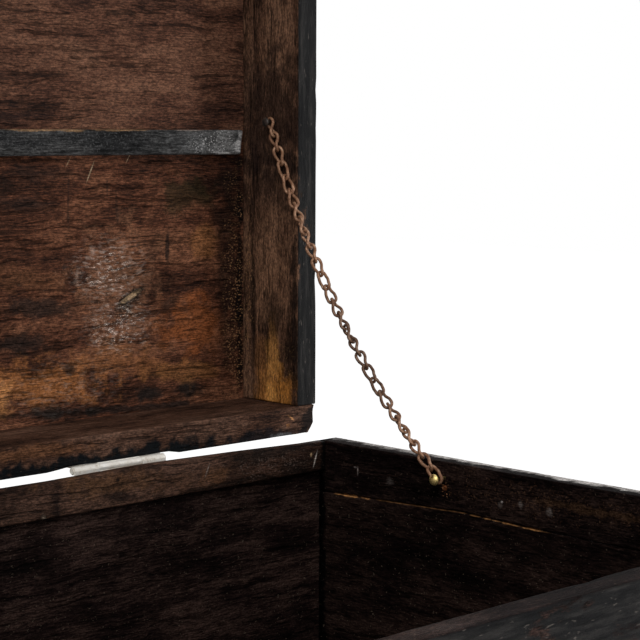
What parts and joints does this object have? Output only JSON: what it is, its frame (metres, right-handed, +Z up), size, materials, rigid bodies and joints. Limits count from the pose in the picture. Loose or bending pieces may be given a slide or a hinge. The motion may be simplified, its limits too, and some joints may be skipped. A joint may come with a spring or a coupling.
{
  "type": "donation box",
  "caption": "Old plank donation box: nailed wooden chest with a tray lid on butt hinges, a coin slot, a hasp and staple, and a twisted-link stay chain that holds the lid open.",
  "frame": {"origin": "middle of the underside, on the floor", "axes": "+X to the right along the long side, +Y to the rear, where the hinges are, +Z up"},
  "size_m": [0.76, 0.5684, 0.767],
  "materials": {
    "box_wood": "dark, worn and dusty",
    "lid_wood": "dark brown, bare inside, worn black paint outside",
    "batten_wood": "chipped black paint",
    "iron": "dark, lightly rusted",
    "chain_iron": "rusty, tan brown",
    "hinge_steel": "dull pale plating",
    "brass": "tarnished"
  },
  "bodies": {
    "box": {"front_board": "box_wood", "rear_board": "box_wood", "left_board": "box_wood", "left_strip": "box_wood", "right_board": "box_wood", "right_strip": "box_wood", "hinge_rail": "box_wood", "base_plank_front": "box_wood", "base_plank_middle": "box_wood", "base_plank_rear": "box_wood", "box_nails": "iron", "right_hinge_box_leaf": "hinge_steel", "left_hinge_box_leaf": "hinge_steel", "right_hinge_pin": "hinge_steel", "left_hinge_pin": "hinge_steel", "hinge_box_screws": "hinge_steel", "staple": "iron", "chain_wall_nail": "brass"},
    "lid": {"lid_plank_front": "lid_wood", "lid_plank_rear": "lid_wood", "lid_rim_front": "lid_wood", "lid_rim_rear": "lid_wood", "lid_rim_left": "lid_wood", "lid_rim_right": "lid_wood", "joint_batten": "batten_wood", "lid_nails": "iron", "coin_slot_plate": "iron", "plate_tacks": "iron", "right_hinge_lid_leaf": "hinge_steel", "left_hinge_lid_leaf": "hinge_steel", "hinge_lid_screws": "hinge_steel", "hasp_leaf": "iron", "hasp_pin": "iron", "chain_lid_nail": "iron"},
    "hasp": {"hasp_strap": "iron"},
    "chain_upper": {"chain_upper_links": "chain_iron"},
    "chain_link_11": {"chain_link_11": "chain_iron"},
    "chain_link_12": {"chain_link_12": "chain_iron"},
    "chain_link_13": {"chain_link_13": "chain_iron"},
    "chain_link_14": {"chain_link_14": "chain_iron"},
    "chain_link_15": {"chain_link_15": "chain_iron"},
    "chain_link_16": {"chain_link_16": "chain_iron"},
    "chain_link_17": {"chain_link_17": "chain_iron"},
    "chain_lower": {"chain_lower_links": "chain_iron"}
  },
  "joints": [
    {"name": "lid_hinge", "type": "hinge", "parent": "box", "child": "lid", "pos_m": [0, 0.2313, 0.3002], "axis": [1, 0, 0], "range_deg": [0, 90]},
    {"name": "hasp_hinge", "type": "hinge", "parent": "lid", "child": "hasp", "pos_m": [0, 0.2455, 0.7634], "axis": [1, 0, 0], "range_deg": [0, 180]},
    {"name": "chain_lid_pivot", "type": "hinge", "parent": "lid", "child": "chain_upper", "pos_m": [0.355, 0.2585, 0.54612], "axis": [1, 0, 0], "range_deg": [-79.82, 2]},
    {"name": "link_pivot_11", "type": "hinge", "parent": "chain_upper", "child": "chain_link_11", "pos_m": [0.355, 0.20706, 0.4405], "axis": [1, 0, 0], "range_deg": [-2, 24.43]},
    {"name": "link_pivot_12", "type": "hinge", "parent": "chain_link_11", "child": "chain_link_12", "pos_m": [0.355, 0.20078, 0.43039], "axis": [1, 0, 0], "range_deg": [-2, 24.43]},
    {"name": "link_pivot_13", "type": "hinge", "parent": "chain_link_12", "child": "chain_link_13", "pos_m": [0.355, 0.19432, 0.4204], "axis": [1, 0, 0], "range_deg": [-2, 24.43]},
    {"name": "link_pivot_14", "type": "hinge", "parent": "chain_link_13", "child": "chain_link_14", "pos_m": [0.355, 0.18767, 0.41053], "axis": [1, 0, 0], "range_deg": [-2, 24.43]},
    {"name": "link_pivot_15", "type": "hinge", "parent": "chain_link_14", "child": "chain_link_15", "pos_m": [0.355, 0.18084, 0.40079], "axis": [1, 0, 0], "range_deg": [-2, 24.43]},
    {"name": "link_pivot_16", "type": "hinge", "parent": "chain_link_15", "child": "chain_link_16", "pos_m": [0.355, 0.17383, 0.39117], "axis": [1, 0, 0], "range_deg": [-2, 24.43]},
    {"name": "link_pivot_17", "type": "hinge", "parent": "chain_link_16", "child": "chain_link_17", "pos_m": [0.355, 0.16664, 0.3817], "axis": [1, 0, 0], "range_deg": [-2, 24.43]},
    {"name": "chain_wall_pivot", "type": "hinge", "parent": "box", "child": "chain_lower", "pos_m": [0.355, 0.0775, 0.288], "axis": [1, 0, 0], "range_deg": [-170.41, 2]}
  ],
  "couplings": [
    {"joint": "chain_lid_pivot", "follows": "lid_hinge", "ratio": -0.86471},
    {"joint": "link_pivot_11", "follows": "lid_hinge", "ratio": 0.24918},
    {"joint": "link_pivot_12", "follows": "lid_hinge", "ratio": 0.24918},
    {"joint": "link_pivot_13", "follows": "lid_hinge", "ratio": 0.24918},
    {"joint": "link_pivot_14", "follows": "lid_hinge", "ratio": 0.24918},
    {"joint": "link_pivot_15", "follows": "lid_hinge", "ratio": 0.24918},
    {"joint": "link_pivot_16", "follows": "lid_hinge", "ratio": 0.24918},
    {"joint": "link_pivot_17", "follows": "lid_hinge", "ratio": 0.24918},
    {"joint": "chain_wall_pivot", "follows": "lid_hinge", "ratio": -1.8712}
  ]
}
